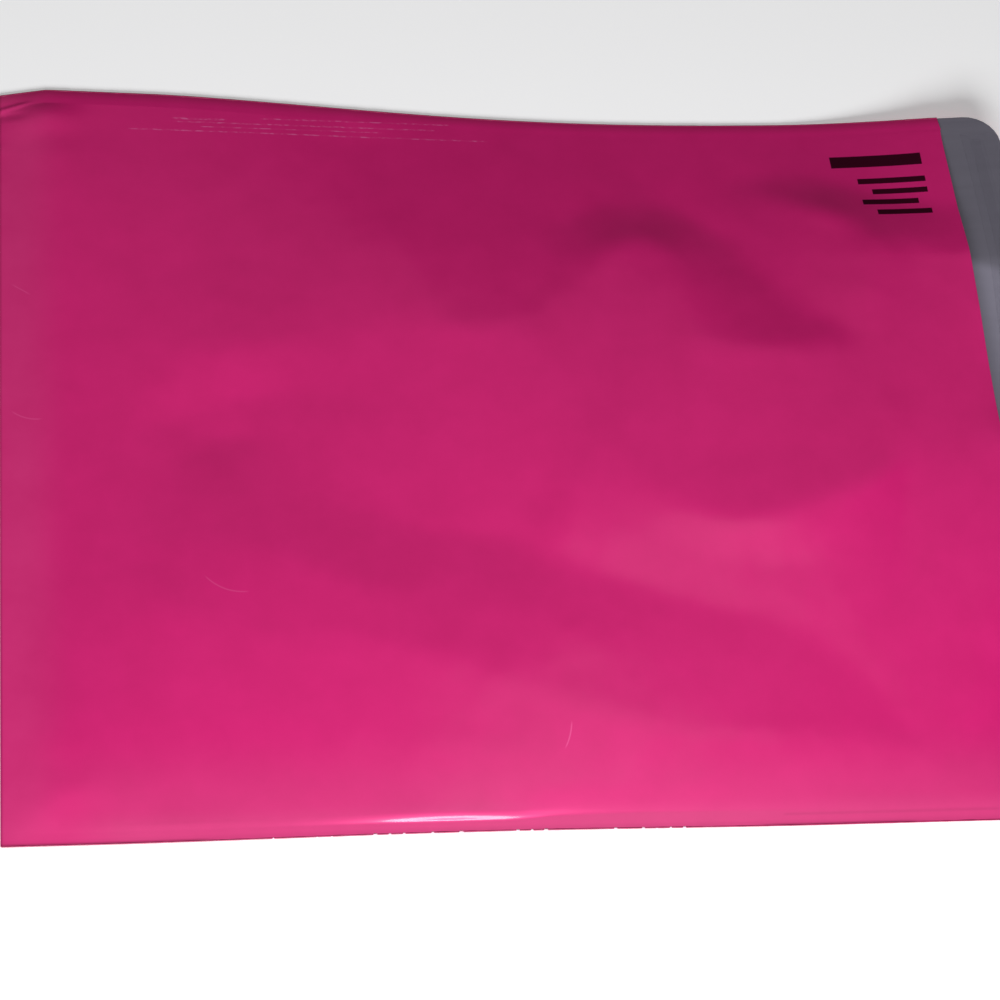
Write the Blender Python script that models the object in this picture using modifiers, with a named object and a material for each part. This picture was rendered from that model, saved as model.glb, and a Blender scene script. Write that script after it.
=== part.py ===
"""Poly mailer bag, lying flat and slightly puffed with air.

One sheet of film makes the flap, the back panel, the fold at the closed end and the front panel.
It is welded to itself along both sides and open at the mouth. A strip of glue and its peel-off
liner lie across the inner face of the flap.

Frame: metres, +Z up. +X runs from the closed end to the flap, +Y to the far side weld. The origin is
under the middle of the whole bag, on the surface that it lies on.
"""

import math

import bmesh
import bpy
import numpy as np

# Driving dimensions
BAG_WIDTH = 0.254           # across the bag, edge to edge
BAG_LENGTH = 0.330          # closed end to mouth
FLAP_LENGTH = 0.021         # back panel past the mouth
FLAP_CORNER_RADIUS = 0.012
FILM = 0.0003               # wall of the solid, thicker than the real film
PANEL_GAP = 0.0002          # between the two panels where they lie on each other
WELD_WIDTH = 0.005          # welded band along each side
WELD_BEAD = 0.00015         # melted film that stands past the cut edge
SEAT_GAP = 0.0003           # between the flap, the glue and the liner

# Glue and liner on the flap
GLUE_WIDTH = 0.008
GLUE_THICKNESS = 0.0003
GLUE_END_MARGIN = 0.010     # bare film at each end of the glue
LINER_WIDTH = 0.013
LINER_THICKNESS = 0.0003
LINER_END_MARGIN = 0.004    # shorter than the flap by this at each end
LINER_SETBACK = 0.0015      # liner's outer edge, in from the flap's end

# Air in the bag and how the edges answer it
PUFF = 0.012                # rise of the front panel that the fold lines are shares of
PRESSURE = 0.35             # swelling of the film between the fold lines, share of PUFF
FAR_DRAW = 0.0050           # most that the puff draws the far edge in
FAR_DRAW_PLACE = 0.57       # where it does, as a share of the bag's length
FAR_DRAW_REACH = 0.42       # and how far to each side it still draws
FAR_DRAW_POWER = 1.5
NEAR_DRAW = 0.0008          # most that it draws the near edge in
NEAR_DRAW_PLACE = 0.42
NEAR_DRAW_REACH = 0.35
NEAR_DRAW_POWER = 2.0
CORNER_LIFT = 0.009         # far corner of the flap, curled off the table
LIFT_REACH_X = 0.091        # length of the curled corner along the bag
LIFT_REACH_Y = 0.087        # and across it
PLEAT_TURN = 0.0030         # tip of the far corner at the closed end, pulled in by its pleat
PLEAT_LENGTH = 0.015

# Mesh
PANEL_COLUMNS = 48
PANEL_ROWS = 34
FLAT_COLUMNS = 4            # on the part of the back panel that lies flat
FOLD_STEPS = 4
CORNER_STEPS = 5
RELIEF_COLUMNS = 110
RELIEF_ROWS = 84
RELIEF_SWEEPS = 500
SOFTENING_SWEEPS = 2

TOTAL_LENGTH = BAG_LENGTH + FLAP_LENGTH
CLOSED_END = -TOTAL_LENGTH / 2
MOUTH = CLOSED_END + BAG_LENGTH
FLAP_END = CLOSED_END + TOTAL_LENGTH
HALF_WIDTH = BAG_WIDTH / 2
PANEL_STEP = FILM + PANEL_GAP   # mid film to mid film where the panels lie on each other

# Fold lines of the front panel. Each point is (share of the bag's length from the closed end, share
# of the way from the near weld to the far one, share of PUFF). The film is stretched over these lines.
CREST_SHARES = {
    "closed end": ((0.05, 0.12, 0.26), (0.05, 0.88, 0.26)),
    "long swell": ((0.18, 0.63, 0.60), (0.32, 0.66, 0.72), (0.44, 0.67, 0.80), (0.50, 0.68, 0.84),
                   (0.56, 0.72, 0.92), (0.61, 0.77, 1.02), (0.64, 0.78, 1.05), (0.67, 0.74, 1.02),
                   (0.69, 0.65, 0.98)),
    "swell to the mouth": ((0.69, 0.65, 0.98), (0.80, 0.64, 0.95), (0.86, 0.65, 0.85)),
    "far mouth swell": ((0.77, 0.86, 0.46), (0.83, 0.82, 0.60), (0.90, 0.80, 0.66), (0.98, 0.77, 0.62)),
    "middle pleat": ((0.58, 0.48, 0.70), (0.64, 0.43, 0.80), (0.71, 0.40, 0.88), (0.78, 0.41, 0.86),
                     (0.87, 0.47, 0.74)),
    "near swell": ((0.08, 0.20, 0.50), (0.22, 0.15, 0.72), (0.40, 0.15, 0.84), (0.56, 0.15, 0.90),
                   (0.70, 0.13, 0.84), (0.80, 0.10, 0.62), (0.88, 0.08, 0.40)),
    "corner pleat": ((0.00, 0.965, 0.02), (0.045, 0.975, 0.12), (0.09, 0.965, 0.02)),
}
HOLLOW_SHARES = {
    "round the peak": ((0.54, 0.73, 0.74), (0.57, 0.81, 0.50), (0.61, 0.84, 0.40), (0.66, 0.845, 0.38),
                       (0.71, 0.82, 0.42), (0.76, 0.76, 0.52), (0.82, 0.70, 0.66), (0.86, 0.65, 0.80)),
    "under the long swell": ((0.15, 0.48, 0.54), (0.21, 0.51, 0.54), (0.26, 0.48, 0.55),
                             (0.34, 0.39, 0.56), (0.46, 0.38, 0.57), (0.55, 0.31, 0.58),
                             (0.68, 0.28, 0.58), (0.75, 0.24, 0.56), (0.80, 0.17, 0.52),
                             (0.88, 0.09, 0.38)),
    "above the middle pleat": ((0.56, 0.49, 0.68), (0.66, 0.50, 0.68), (0.76, 0.49, 0.68),
                               (0.87, 0.48, 0.70)),
    "corner pleat": ((0.00, 0.93, 0.02), (0.05, 0.945, 0.06), (0.10, 0.955, 0.02)),
}
MOUTH_RISE_SHARES = ((0.00, 0.00), (0.12, 0.34), (0.30, 0.60), (0.50, 0.66), (0.70, 0.62), (0.80, 0.52),
                     (0.92, 0.28), (1.00, 0.00))

PINK = (0.60, 0.028, 0.165, 1.0)
CLEAR_GLUE = (0.62, 0.61, 0.58, 1.0)
CLEAR_LINER = (0.42, 0.43, 0.47, 1.0)


def clear_scene():
    for item in list(bpy.data.objects):
        bpy.data.objects.remove(item, do_unlink=True)


def new_collection(name):
    collection = bpy.data.collections.new(name)
    bpy.context.scene.collection.children.link(collection)
    return collection


def new_material(name, color, roughness):
    material = bpy.data.materials.new(name)
    material.use_nodes = True
    shader = material.node_tree.nodes["Principled BSDF"]
    shader.inputs["Base Color"].default_value = color
    shader.inputs["Roughness"].default_value = roughness
    shader.inputs["Metallic"].default_value = 0.0
    return material


def relief_of_the_front_panel():
    """Rise of the film over the panel, in shares of PUFF, on an even grid of rows and columns.

    The film is held at nothing round its welds and its closed end, at the mouth's own edge and along
    the fold lines. Between them each point settles to the mean of its neighbours plus the pressure.
    """
    rise = np.zeros((RELIEF_ROWS + 1, RELIEF_COLUMNS + 1))
    held = np.zeros(rise.shape, dtype=bool)
    held[0, :] = held[-1, :] = held[:, 0] = held[:, -1] = True
    across = np.linspace(0.0, 1.0, RELIEF_ROWS + 1)
    mouth_y, mouth_rise = np.array(MOUTH_RISE_SHARES).T
    rise[:, -1] = np.interp(across, mouth_y, mouth_rise)
    for lines in (HOLLOW_SHARES, CREST_SHARES):
        for points in lines.values():
            hold_line(rise, held, points)
    swell = 8.0 * PRESSURE / (RELIEF_ROWS ** 2)
    for _ in range(RELIEF_SWEEPS):
        settle(rise, ~held, swell)
    for _ in range(SOFTENING_SWEEPS):
        inner = np.zeros(rise.shape, dtype=bool)
        inner[1:-1, 1:-1] = True
        settle(rise, inner, 0.0)
    return rise


def hold_line(rise, held, points):
    """Mark the grid points under a line of (along, across, rise) as held at its rise."""
    for start, end in zip(points[:-1], points[1:]):
        steps = 2 + int(2 * max(abs(end[0] - start[0]) * RELIEF_COLUMNS,
                                abs(end[1] - start[1]) * RELIEF_ROWS))
        for share in np.linspace(0.0, 1.0, steps):
            along, across, height = (a + share * (b - a) for a, b in zip(start, end))
            row = min(round(across * RELIEF_ROWS), RELIEF_ROWS)
            column = min(round(along * RELIEF_COLUMNS), RELIEF_COLUMNS)
            rise[row, column] = height
            held[row, column] = True


def settle(rise, free, swell):
    """One sweep over the free points: the mean of the four neighbours, plus the swell."""
    mean = np.zeros_like(rise)
    mean[1:-1, 1:-1] = 0.25 * (rise[:-2, 1:-1] + rise[2:, 1:-1] + rise[1:-1, :-2] + rise[1:-1, 2:])
    rise[free] = mean[free] + swell


def sample(rise, along, across):
    """Rise at a point of the panel, read between the four grid points round it."""
    column = min(max(along, 0.0), 1.0) * RELIEF_COLUMNS
    row = min(max(across, 0.0), 1.0) * RELIEF_ROWS
    left = min(int(column), RELIEF_COLUMNS - 1)
    low = min(int(row), RELIEF_ROWS - 1)
    fx = column - left
    fy = row - low
    near = rise[low, left] * (1 - fx) + rise[low, left + 1] * fx
    far = rise[low + 1, left] * (1 - fx) + rise[low + 1, left + 1] * fx
    return near * (1 - fy) + far * fy


def edge_draw(x, most, centre, reach, power):
    """How far the puff draws a side edge in at x: a smooth hump along the bag."""
    share = ((x - CLOSED_END) / BAG_LENGTH - centre) / reach
    if abs(share) >= 1.0:
        return 0.0
    return most * math.cos(share * math.pi / 2) ** power


def far_edge(x):
    """Far edge of the sheet at x, on the table."""
    pleat = max(0.0, 1.0 - (x - CLOSED_END) / PLEAT_LENGTH)
    drawn_in = edge_draw(x, FAR_DRAW, FAR_DRAW_PLACE, FAR_DRAW_REACH, FAR_DRAW_POWER)
    return HALF_WIDTH - drawn_in - PLEAT_TURN * pleat - corner_inset(x)


def near_edge(x):
    """Near edge of the sheet at x, on the table."""
    drawn_in = edge_draw(x, NEAR_DRAW, NEAR_DRAW_PLACE, NEAR_DRAW_REACH, NEAR_DRAW_POWER)
    return -HALF_WIDTH + drawn_in + corner_inset(x)


def corner_inset(x):
    """Inset of the flap's rounded corners at x."""
    into = x - (FLAP_END - FLAP_CORNER_RADIUS)
    if into <= 0.0:
        return 0.0
    return FLAP_CORNER_RADIUS - math.sqrt(max(0.0, FLAP_CORNER_RADIUS ** 2 - into ** 2))


def lift(x, y):
    """Height of the film's underside off the table: nothing but at the curled far corner."""
    along = max(0.0, 1.0 - (FLAP_END - x) / LIFT_REACH_X)
    across = max(0.0, 1.0 - (HALF_WIDTH - y) / LIFT_REACH_Y)
    return CORNER_LIFT * along ** 2 * across ** 2


def across_bag(x, share):
    """y at a share of the sheet's width from its near edge."""
    near = near_edge(x)
    return near + share * (far_edge(x) - near)


def grid_object(name, columns, rows, place, collection):
    """A flat grid whose point (column, row) is put where place(column, row) says."""
    mesh = bpy.data.meshes.new(name)
    sheet = bmesh.new()
    bmesh.ops.create_grid(sheet, x_segments=columns, y_segments=rows, size=0.5)
    for vert in sheet.verts:
        column = round((vert.co.x + 0.5) * columns)
        row = round((vert.co.y + 0.5) * rows)
        vert.co = place(column, row)
    sheet.to_mesh(mesh)
    sheet.free()
    item = bpy.data.objects.new(name, mesh)
    collection.objects.link(item)
    return item


def add_solidify(item, thickness):
    wall = item.modifiers.new("Wall", "SOLIDIFY")
    wall.thickness = thickness
    wall.offset = 0.0
    wall.use_even_offset = True


def panel_rows():
    """Shares across the sheet: the edges, the welds' inner lines and even rows between them."""
    weld = WELD_WIDTH / BAG_WIDTH
    inner = np.linspace(weld, 1.0 - weld, PANEL_ROWS - 1)
    return [0.0, *inner, 1.0]


def flap_stations():
    """x from the flap's end to the mouth, close together round the corners."""
    corner_start = FLAP_END - FLAP_CORNER_RADIUS
    turns = [math.radians(90.0 * (1 - step / CORNER_STEPS)) for step in range(CORNER_STEPS)]
    stations = [corner_start + FLAP_CORNER_RADIUS * math.sin(turn) for turn in turns]
    stations[0] = FLAP_END - FLAP_CORNER_RADIUS * (1 - math.sin(math.radians(84.0)))
    return stations + [corner_start]


def panel_stations():
    """x of the front panel's columns, from the closed end's fold to the mouth."""
    start = CLOSED_END + PANEL_STEP / 2 + FILM / 2
    return list(np.linspace(start, MOUTH, PANEL_COLUMNS + 1))


def back_stations():
    """x of the back panel's columns, from the mouth to the fold, few where it lies flat."""
    panel = panel_stations()
    curl_start = FLAP_END - LIFT_REACH_X
    curled = [x for x in panel if x > curl_start]
    flat = list(np.linspace(panel[0], curled[0], FLAT_COLUMNS + 1))
    return (flat[:-1] + curled)[::-1]


def sheet_path():
    """The sheet's length as stations: (x, level of the mid film, front panel or not)."""
    low = FILM / 2
    path = [(x, low, False) for x in flap_stations() + back_stations()]
    fold_x = panel_stations()[0]
    for step in range(1, FOLD_STEPS):
        turn = math.pi * step / FOLD_STEPS
        path.append((fold_x - PANEL_STEP / 2 * math.sin(turn),
                     low + PANEL_STEP / 2 * (1 - math.cos(turn)), False))
    path += [(x, low + PANEL_STEP, True) for x in panel_stations()]
    return path


def make_film(collection, cutters):
    """Flap, back panel, closed end and front panel as one folded sheet, welded along its sides."""
    rise = relief_of_the_front_panel()
    path = sheet_path()
    rows = panel_rows()
    weld = WELD_WIDTH / BAG_WIDTH

    def place(column, row):
        x, level, is_front = path[column]
        share = rows[row]
        y = across_bag(x, share)
        z = level + lift(x, y)
        if is_front:
            along = (x - CLOSED_END) / BAG_LENGTH
            inside = (share - weld) / (1.0 - 2.0 * weld)
            z += PUFF * sample(rise, along, inside)
        return (x, y, z)

    film = grid_object("mailer_film", len(path) - 1, len(rows) - 1, place, collection)
    add_solidify(film, FILM)
    for side in ("near", "far"):
        seam = make_weld(side, cutters)
        union = film.modifiers.new(side + " weld", "BOOLEAN")
        union.operation = "UNION"
        union.solver = "EXACT"
        union.object = seam
    film.data.materials.append(new_material("pink film", PINK, 0.32))
    return film


def make_weld(side, cutters):
    """The fused band that joins the two panels along one side, from the fold to the mouth."""
    stations = panel_stations()
    stations[-1] += WELD_BEAD
    band = WELD_WIDTH / BAG_WIDTH
    level = FILM / 2 + PANEL_STEP / 2

    def place(column, row):
        x = stations[column]
        if side == "far":
            y = far_edge(x) + WELD_BEAD if row == 1 else across_bag(x, 1.0 - band)
        else:
            y = near_edge(x) - WELD_BEAD if row == 0 else across_bag(x, band)
        return (x, y, level + lift(x, y))

    seam = grid_object(side + "_weld", len(stations) - 1, 1, place, cutters)
    add_solidify(seam, PANEL_STEP)
    seam.hide_render = True
    seam.display_type = "WIRE"
    return seam


def make_strip(name, inner_x, outer_x, margin, bottom, thickness, material, collection):
    """A flat strip across the flap, following its curl, with its underside at bottom over the table."""
    rows = PANEL_ROWS
    reach_near = near_edge(inner_x) + margin
    reach_far = far_edge(inner_x) - margin

    def place(column, row):
        x = outer_x if column == 1 else inner_x
        y = reach_near + (reach_far - reach_near) * row / rows
        return (x, y, bottom + thickness / 2 + lift(x, y))

    strip = grid_object(name, 1, rows, place, collection)
    add_solidify(strip, thickness)
    strip.data.materials.append(material)
    return strip


def make_glue_and_liner(collection):
    """Glue bead on the flap's inner face, and the wider peel-off liner over it."""
    liner_outer = FLAP_END - LINER_SETBACK
    liner_inner = liner_outer - LINER_WIDTH
    glue_inner = liner_inner + (LINER_WIDTH - GLUE_WIDTH) / 2
    glue_bottom = FILM + SEAT_GAP
    liner_bottom = glue_bottom + GLUE_THICKNESS + SEAT_GAP
    glue_material = new_material("hot-melt glue", CLEAR_GLUE, 0.35)
    liner_material = new_material("release liner", CLEAR_LINER, 0.30)
    make_strip("glue_strip", glue_inner, glue_inner + GLUE_WIDTH, GLUE_END_MARGIN, glue_bottom,
               GLUE_THICKNESS, glue_material, collection)
    make_strip("release_liner", liner_inner, liner_outer, LINER_END_MARGIN + FLAP_CORNER_RADIUS / 4,
               liner_bottom, LINER_THICKNESS, liner_material, collection)


def build():
    clear_scene()
    bag = new_collection("poly_mailer_bag")
    cutters = new_collection("cutters")
    make_film(bag, cutters)
    make_glue_and_liner(bag)


build()
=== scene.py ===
# %% [markdown]
# # A poly mailer bag, lying on a table
# The real bag is one sheet of blown polyethylene, hot pink on one face and dull grey on the other. It is
# folded over once, welded to itself along two sides and left open at the mouth. A little air inside keeps the
# front panel puffed, and because the film is glossy every crease shows.
# The frame loaded below holds the bag's plain solids. Each piece made here stands where its solid stands.

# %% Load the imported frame
import math

import bpy
import numpy as np
from mathutils import Matrix, Vector


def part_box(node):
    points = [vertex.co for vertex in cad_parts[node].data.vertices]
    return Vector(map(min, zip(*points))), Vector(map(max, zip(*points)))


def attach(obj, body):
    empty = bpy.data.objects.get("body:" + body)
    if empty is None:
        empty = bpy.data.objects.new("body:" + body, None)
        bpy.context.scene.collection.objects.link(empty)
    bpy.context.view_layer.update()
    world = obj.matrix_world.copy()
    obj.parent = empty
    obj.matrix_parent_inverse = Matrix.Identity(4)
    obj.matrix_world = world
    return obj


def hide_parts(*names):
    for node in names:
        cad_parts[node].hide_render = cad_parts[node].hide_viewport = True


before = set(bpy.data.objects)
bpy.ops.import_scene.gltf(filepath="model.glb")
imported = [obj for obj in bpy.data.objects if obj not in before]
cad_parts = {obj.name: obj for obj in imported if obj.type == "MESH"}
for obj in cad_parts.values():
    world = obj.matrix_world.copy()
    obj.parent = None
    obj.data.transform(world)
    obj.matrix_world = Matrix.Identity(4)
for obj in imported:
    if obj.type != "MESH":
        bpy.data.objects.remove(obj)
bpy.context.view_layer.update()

FILM_LOW, FILM_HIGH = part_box("mailer_film")
print("solids in the frame:", sorted(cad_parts))

# %% [markdown]
# ## The camera
# The bag is seen from its near left, about 64 degrees above the table, through a fairly long lens. The closed
# end lies on the left border of the picture, and the mouth's near corner is outside the right one.
# A camera could be placed by three turns about the axes. Here it is placed by the point that it looks at, its
# distance and its direction, because these are easy to read and to change one at a time.

# %% Camera
AIM = Vector((-0.0198, -0.0184, 0.0))
CAMERA_DISTANCE = 0.757
CAMERA_ELEVATION = math.radians(63.9)
CAMERA_HEADING = math.radians(29.7)     # from +Y towards +X
PICTURE_LEAN = math.radians(4.8)        # the picture's upward direction, from +Y towards +X
LENS = 85.7                             # mm, on a 36 mm sensor


def add_object(name, data):
    """Put a mesh, a light or a camera in the scene."""
    item = bpy.data.objects.new(name, data)
    bpy.context.scene.collection.objects.link(item)
    return item


def make_camera():
    camera_data = bpy.data.cameras.new("camera")
    camera = add_object("camera", camera_data)
    flat = math.cos(CAMERA_ELEVATION)
    look = Vector((flat * math.sin(CAMERA_HEADING), flat * math.cos(CAMERA_HEADING),
                   -math.sin(CAMERA_ELEVATION)))
    upward = Vector((math.sin(PICTURE_LEAN), math.cos(PICTURE_LEAN), 0.0))
    right = look.cross(upward).normalized()
    up = right.cross(look)
    turn = Matrix((right, up, -look)).transposed().to_4x4()
    camera.matrix_world = Matrix.Translation(AIM - look * CAMERA_DISTANCE) @ turn
    camera_data.lens = LENS
    camera_data.sensor_width = 36.0
    camera_data.clip_start = 0.01
    camera_data.clip_end = 20.0
    bpy.context.scene.camera = camera
    return camera


camera = make_camera()
print("camera at, in mm:", [round(1000 * v) for v in camera.matrix_world.translation])

# %% [markdown]
# ## Wiring nodes in code
# Every material and every Geometry Nodes tree below is built by script. A node takes two kinds of value: a
# fixed one, set on its socket, or a wire from another node. One small helper does both, so that a tree reads
# from top to bottom like a recipe.

# %% Helpers for node trees
def wire(tree, kind, inputs=None, **settings):
    """Add a node; an input given as a socket is wired, anything else is set as a value."""
    node = tree.nodes.new(kind)
    for name, value in settings.items():
        setattr(node, name, value)
    for key, value in (inputs or {}).items():
        if isinstance(value, bpy.types.NodeSocket):
            tree.links.new(value, node.inputs[key])
        else:
            node.inputs[key].default_value = value
    return node


def maths(tree, operation, first, second):
    return wire(tree, "ShaderNodeMath", {0: first, 1: second}, operation=operation).outputs[0]


def times(tree, first, *others):
    for other in others:
        first = maths(tree, "MULTIPLY", first, other)
    return first


def add_up(tree, sockets):
    total = sockets[0]
    for socket in sockets[1:]:
        total = maths(tree, "ADD", total, socket)
    return total


def new_material(name, **finish):
    """A Principled material; the finish is set on the shader's own sockets."""
    material = bpy.data.materials.new(name)
    material.use_nodes = True
    shader = material.node_tree.nodes["Principled BSDF"]
    for key, value in finish.items():
        shader.inputs[key.replace("_", " ")].default_value = value
    return material, material.node_tree, shader


def to_range(tree, pattern, low, high, start=0.0, end=1.0):
    """Take a pattern's start..end to low..high."""
    return wire(tree, "ShaderNodeMapRange", {"Value": pattern, "From Min": start, "From Max": end,
                                             "To Min": low, "To Max": high}).outputs[0]


def dent(tree, shader, pattern, strength, depth):
    """Let a pattern dent the surface."""
    bump = wire(tree, "ShaderNodeBump", {"Height": pattern, "Strength": strength, "Distance": depth})
    tree.links.new(bump.outputs[0], shader.inputs["Normal"])


print("helpers ready")

# %% [markdown]
# ## Floor and light
# A pale floor and soft light show the film without a room. The main light is a broad panel low on the near
# side. It grazes the film, so a slope that faces it is bright and a slope that turns away is dark. Light
# from straight above would flatten every fold. It stands close to the bag, so the near edge is twice as
# bright as the far one. A weak panel overhead keeps the shaded slopes from going black, and a small one is
# placed where the near side of the glossy film mirrors it, which gives the pale sheen there.

# %% Floor
FLOOR_SIZE = 6.0
FLOOR_DROP = 0.0002


def make_floor():
    half = FLOOR_SIZE / 2
    mesh = bpy.data.meshes.new("floor")
    corners = [(-half, -half), (half, -half), (half, half), (-half, half)]
    mesh.from_pydata([(x, y, -FLOOR_DROP) for x, y in corners], [], [(0, 1, 2, 3)])
    floor = add_object("floor", mesh)
    material = new_material("pale floor", Roughness=0.9, Specular_IOR_Level=0.1,
                            Base_Color=(0.90, 0.90, 0.91, 1.0), Emission_Color=(1.0, 1.0, 1.0, 1.0),
                            Emission_Strength=0.35)[0]
    material.cycles.emission_sampling = "NONE"
    mesh.materials.append(material)
    return floor


floor = make_floor()
print("floor:", floor.name)


# %% Lights
def make_panel(name, place, aim, width, height, watts):
    """A rectangular light that faces the point it is aimed at."""
    light = bpy.data.lights.new(name, "AREA")
    light.shape = "RECTANGLE"
    light.size = width
    light.size_y = height
    light.energy = watts
    panel = add_object(name, light)
    direction = Vector(aim) - Vector(place)
    panel.location = place
    panel.rotation_euler = direction.to_track_quat("-Z", "Y").to_euler()
    return panel


key_light = make_panel("key light", (-0.050, -0.931, 0.456), (0.0, 0.0, 0.0), 0.74, 0.36, 14.6)
top_light = make_panel("top light", (0.1, 0.3, 1.4), (0.0, 0.0, 0.0), 1.4, 1.4, 1.0)
gloss_light = make_panel("gloss light", (0.300, 0.030, 1.148), (-0.005, -0.21, 0.0), 0.30, 0.30, 0.24)
world = bpy.data.worlds.new("grey room")
bpy.context.scene.world = world
world.use_nodes = True
world.node_tree.nodes["Background"].inputs["Color"].default_value = (0.8, 0.8, 0.82, 1.0)
world.node_tree.nodes["Background"].inputs["Strength"].default_value = 0.06
bpy.context.scene.view_settings.view_transform = "Standard"
print("lights:", key_light.name, top_light.name, gloss_light.name)

# %% [markdown]
# ## The film
# The whole bag is one sheet. It runs from the flap's free edge along the back panel, turns over at the closed
# end and comes back as the front panel, as far as the mouth. Two panels modelled apart and joined would show
# a false seam at the closed end, so the sheet is made here as it is on the real bag: one grid of points,
# folded over.
# The sizes are those of the solid in the frame. Real film is 0.06 mm thick, and 0.2 mm is used here so that
# its edge still catches the light.

# %% Sizes of the sheet
FLAP_LENGTH = 0.021
FLAP_CORNER_RADIUS = 0.012
WELD_WIDTH = 0.005
FILM = 0.0002
PANEL_STEP = 0.0003          # from the back panel's film to the front panel's, middle to middle
PUFF = 0.012
PRESSURE = 0.09
CLOSED_END = FILM_LOW.x
FLAP_END = FILM_HIGH.x
MOUTH = FLAP_END - FLAP_LENGTH
BAG_LENGTH = MOUTH - CLOSED_END
HALF_WIDTH = 0.127
BAG_WIDTH = 2 * HALF_WIDTH
WELD_SHARE = WELD_WIDTH / BAG_WIDTH
print("closed end, mouth and flap end, in mm:", [round(1000 * x, 1) for x in (CLOSED_END, MOUTH, FLAP_END)])

# %% [markdown]
# ## Billows
# The puffed panel isn't a smooth pillow. Sharp crests and soft hollows run across it where the film was
# folded or pulled, and between them it hangs like a skin. Sculpting it by hand would be slow to change, and
# noise would give none of the real folds. So the crests and hollows are drawn as lines, and the film between
# them is found by letting each point settle to the mean of its neighbours, with a little swelling for the
# air. That is how a stretched skin behaves, so the curves between the lines come out right by themselves.
# Each point of a line is a share of the way from the closed end to the mouth, a share of the way from the
# near weld to the far one, and a height as a share of the puff. The places were drawn by eye and most of the
# heights were then fitted to a photograph's shading by a separate calculation, rounded, and retuned in
# renders. So these lists are closer to measured data than to a design: a new bag needs only a few round ones.

# %% Fold lines
CREST_SHARES = {
    "closed end": ((0.05, 0.10, 0.15), (0.05, 0.35, 0.04), (0.05, 0.60, 0.03), (0.05, 0.80, 0.08),
                   (0.05, 0.93, 0.10)),
    "long swell": ((0.12, 0.55, 0.09), (0.17, 0.62, 0.20), (0.24, 0.64, 0.33), (0.32, 0.66, 0.42),
                   (0.38, 0.68, 0.53), (0.44, 0.67, 0.67), (0.50, 0.68, 0.70), (0.54, 0.71, 0.68),
                   (0.58, 0.76, 0.66), (0.61, 0.805, 0.63), (0.635, 0.82, 0.57), (0.66, 0.805, 0.62),
                   (0.675, 0.74, 0.72), (0.685, 0.65, 0.83), (0.74, 0.64, 0.88), (0.80, 0.64, 0.84),
                   (0.85, 0.64, 0.82)),
    "below the long swell": ((0.15, 0.525, 0.07), (0.215, 0.555, 0.15), (0.275, 0.57, 0.28),
                             (0.33, 0.575, 0.38)),
    "far swell": ((0.14, 0.75, 0.13), (0.215, 0.76, 0.21), (0.29, 0.78, 0.29), (0.365, 0.79, 0.40)),
    "far crease": ((0.365, 0.97, 0.02), (0.375, 0.88, 0.23), (0.39, 0.79, 0.45), (0.415, 0.70, 0.61)),
    "far mouth swell": ((0.755, 0.91, 0.20), (0.79, 0.885, 0.35), (0.84, 0.862, 0.54), (0.89, 0.825, 0.59),
                        (0.94, 0.805, 0.54), (0.98, 0.80, 0.45)),
    "near cross fold": ((0.345, 0.40, 0.34), (0.345, 0.50, 0.39), (0.35, 0.58, 0.42), (0.36, 0.67, 0.49)),
    "far cross fold": ((0.50, 0.66, 0.71), (0.51, 0.585, 0.70), (0.52, 0.50, 0.66), (0.50, 0.415, 0.52)),
    "middle pleat": ((0.58, 0.47, 0.73), (0.62, 0.43, 0.745), (0.66, 0.40, 0.755), (0.69, 0.385, 0.78),
                     (0.74, 0.39, 0.83), (0.80, 0.42, 0.89), (0.845, 0.44, 0.88), (0.875, 0.47, 0.85)),
    "below the pleat": ((0.57, 0.385, 0.64), (0.645, 0.345, 0.60), (0.725, 0.33, 0.60), (0.80, 0.32, 0.61)),
    "low hump": ((0.12, 0.32, 0.17), (0.17, 0.36, 0.24), (0.23, 0.36, 0.34), (0.29, 0.32, 0.43),
                 (0.35, 0.29, 0.47)),
    "low slope": ((0.44, 0.285, 0.47), (0.53, 0.235, 0.51), (0.62, 0.19, 0.43), (0.71, 0.155, 0.35)),
    "low swell": ((0.10, 0.33, 0.14), (0.16, 0.27, 0.28), (0.23, 0.24, 0.33), (0.32, 0.23, 0.43),
                  (0.41, 0.20, 0.48), (0.475, 0.17, 0.46), (0.55, 0.13, 0.42), (0.62, 0.10, 0.34)),
    "near swell": ((0.05, 0.04, 0.13), (0.12, 0.065, 0.09), (0.21, 0.09, 0.14), (0.32, 0.09, 0.23),
                   (0.43, 0.08, 0.29), (0.50, 0.08, 0.30), (0.58, 0.09, 0.31), (0.68, 0.10, 0.32),
                   (0.77, 0.095, 0.25), (0.88, 0.07, 0.13)),
    "near shoulder": ((0.03, 0.02, 0.06), (0.17, 0.03, 0.04), (0.32, 0.03, 0.09), (0.50, 0.03, 0.15),
                      (0.685, 0.03, 0.10), (0.84, 0.03, 0.06), (0.96, 0.02, 0.05)),
    "mouth fall": ((0.885, 0.11, 0.19), (0.87, 0.25, 0.45), (0.875, 0.39, 0.69), (0.88, 0.47, 0.83),
                   (0.87, 0.54, 0.88), (0.865, 0.63, 0.82), (0.875, 0.73, 0.79), (0.89, 0.82, 0.66)),
    "corner pleat": ((0.00, 0.965, 0.02), (0.045, 0.985, 0.12), (0.09, 0.97, 0.02)),
}
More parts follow.
